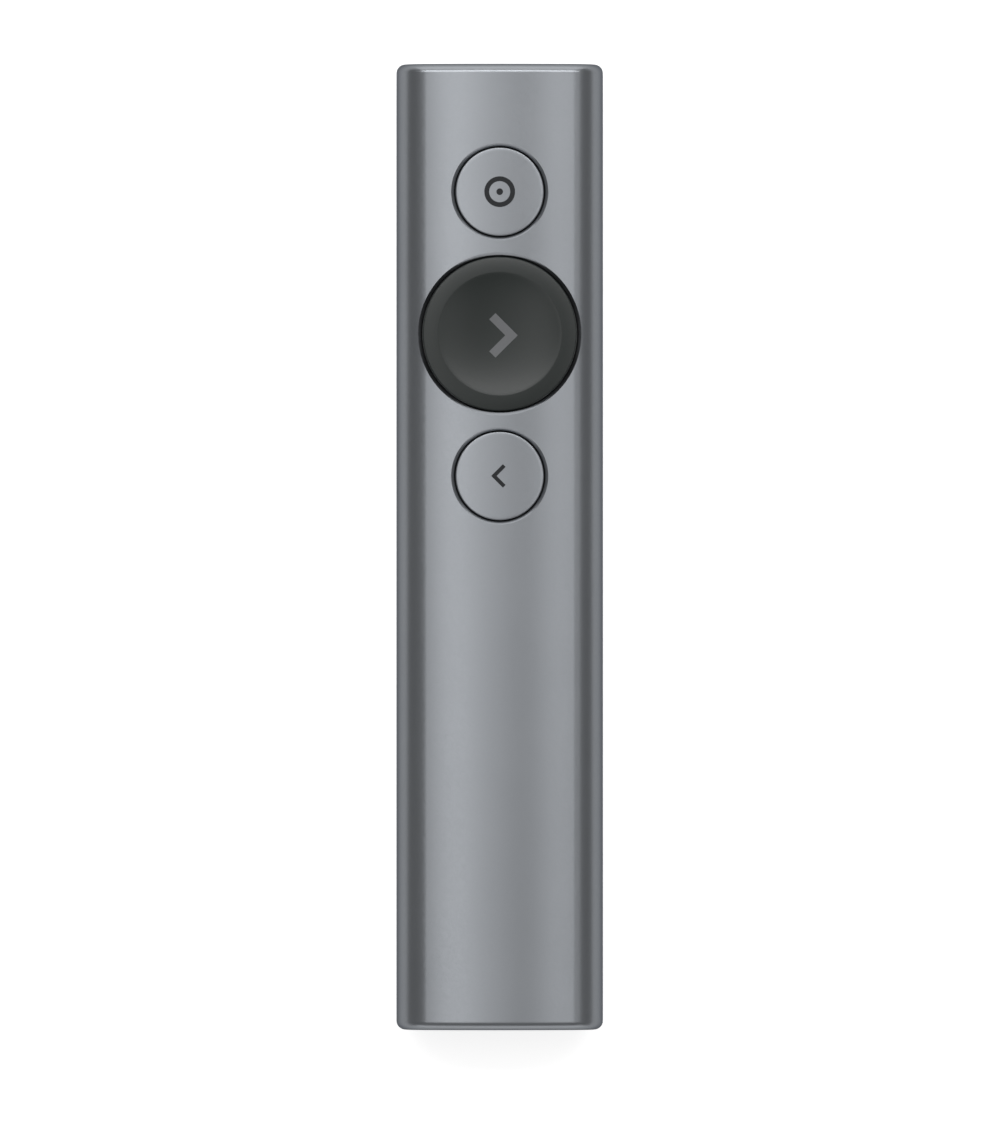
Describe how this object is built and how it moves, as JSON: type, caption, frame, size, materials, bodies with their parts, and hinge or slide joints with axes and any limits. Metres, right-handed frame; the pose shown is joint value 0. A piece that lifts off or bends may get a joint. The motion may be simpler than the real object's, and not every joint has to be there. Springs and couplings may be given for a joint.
{
  "type": "wireless presentation clicker",
  "caption": "Handheld wireless presentation clicker: a slim oval aluminium tube with round keys on its front and a plug-in radio receiver docked in its tail.",
  "frame": {"origin": "on the flat of the back, under the middle of the body", "axes": "+X across the body, +Y along it towards the nose, +Z out of the face that carries the keys"},
  "size_m": [0.0282, 0.1314, 0.0121],
  "materials": {
    "anodised_tube": "bead-blasted and anodised slate grey",
    "end_trim": "fine matt texture, dark grey",
    "chassis_plastic": "moulded, dark grey",
    "key_plastic": "soft satin, charcoal",
    "circuit_board": "green solder mask",
    "black_parts": "moulded black",
    "white_parts": "moulded off-white",
    "steel_parts": "bright steel",
    "black_screws": "steel with black oxide",
    "plated_shells": "nickel-plated sheet",
    "gold_contacts": "gold-plated",
    "cell_pouch": "foil pouch",
    "motor_rubber": "moulded rubber",
    "lead_insulation": "wire insulation",
    "pull_webbing": "woven tape"
  },
  "bodies": {
    "shell": {"body_tube": "anodised_tube", "nose_cap": "end_trim", "tail_bezel": "end_trim", "nose_plug": "chassis_plastic", "bay_sleeve": "chassis_plastic", "chassis_tray": "chassis_plastic", "button_frame": "chassis_plastic", "main_board": "circuit_board", "battery_circuit": "circuit_board", "switch_bases": "black_parts", "radio_chip": "black_parts", "motion_sensor": "black_parts", "charger_chip": "black_parts", "charge_port_tongue": "black_parts", "battery_socket": "white_parts", "battery_plug": "white_parts", "chip_antenna": "white_parts", "battery_tape": "white_parts", "board_screws": "steel_parts", "bay_springs": "steel_parts", "switch_covers": "steel_parts", "pointer_dome": "steel_parts", "next_dome": "steel_parts", "back_dome": "steel_parts", "motor_can": "steel_parts", "clock_crystal": "steel_parts", "nose_screws": "black_screws", "frame_screws": "black_screws", "charge_port_shell": "plated_shells", "battery_cell": "cell_pouch", "motor_boot": "motor_rubber", "battery_leads": "lead_insulation", "motor_leads": "lead_insulation"},
    "pointer_button": {"pointer_face": "anodised_tube", "pointer_core": "chassis_plastic", "pointer_plunger": "white_parts"},
    "next_button": {"next_face": "key_plastic", "next_core": "chassis_plastic", "next_plunger": "white_parts"},
    "back_button": {"back_face": "anodised_tube", "back_core": "chassis_plastic", "back_plunger": "white_parts"},
    "receiver": {"receiver_housing": "end_trim", "receiver_end_cap": "end_trim", "receiver_pull_loop": "pull_webbing", "receiver_board": "circuit_board", "receiver_chip": "black_parts", "receiver_plug_shell": "plated_shells", "receiver_plug_tongue": "white_parts", "receiver_contacts": "gold_contacts"},
    "motor_rotor": {"motor_shaft": "steel_parts", "motor_weight": "steel_parts"}
  },
  "joints": [
    {"name": "pointer_press", "type": "slide", "parent": "shell", "child": "pointer_button", "axis": [0, 0, -1], "range_m": [0, 0.0004], "stiffness_N_per_m": 4000, "deforming": ["pointer_dome"]},
    {"name": "next_press", "type": "slide", "parent": "shell", "child": "next_button", "axis": [0, 0, -1], "range_m": [0, 0.0005], "stiffness_N_per_m": 4000, "deforming": ["next_dome"]},
    {"name": "back_press", "type": "slide", "parent": "shell", "child": "back_button", "axis": [0, 0, -1], "range_m": [0, 0.0004], "stiffness_N_per_m": 4000, "deforming": ["back_dome"]},
    {"name": "receiver_pull", "type": "slide", "parent": "shell", "child": "receiver", "axis": [0, -1, 0], "range_m": [0, 0.036]},
    {"name": "motor_spin", "type": "hinge", "parent": "shell", "child": "motor_rotor", "pos_m": [-0.0024, -0.00045, 0.0067], "axis": [1, 0, 0], "continuous": true}
  ]
}
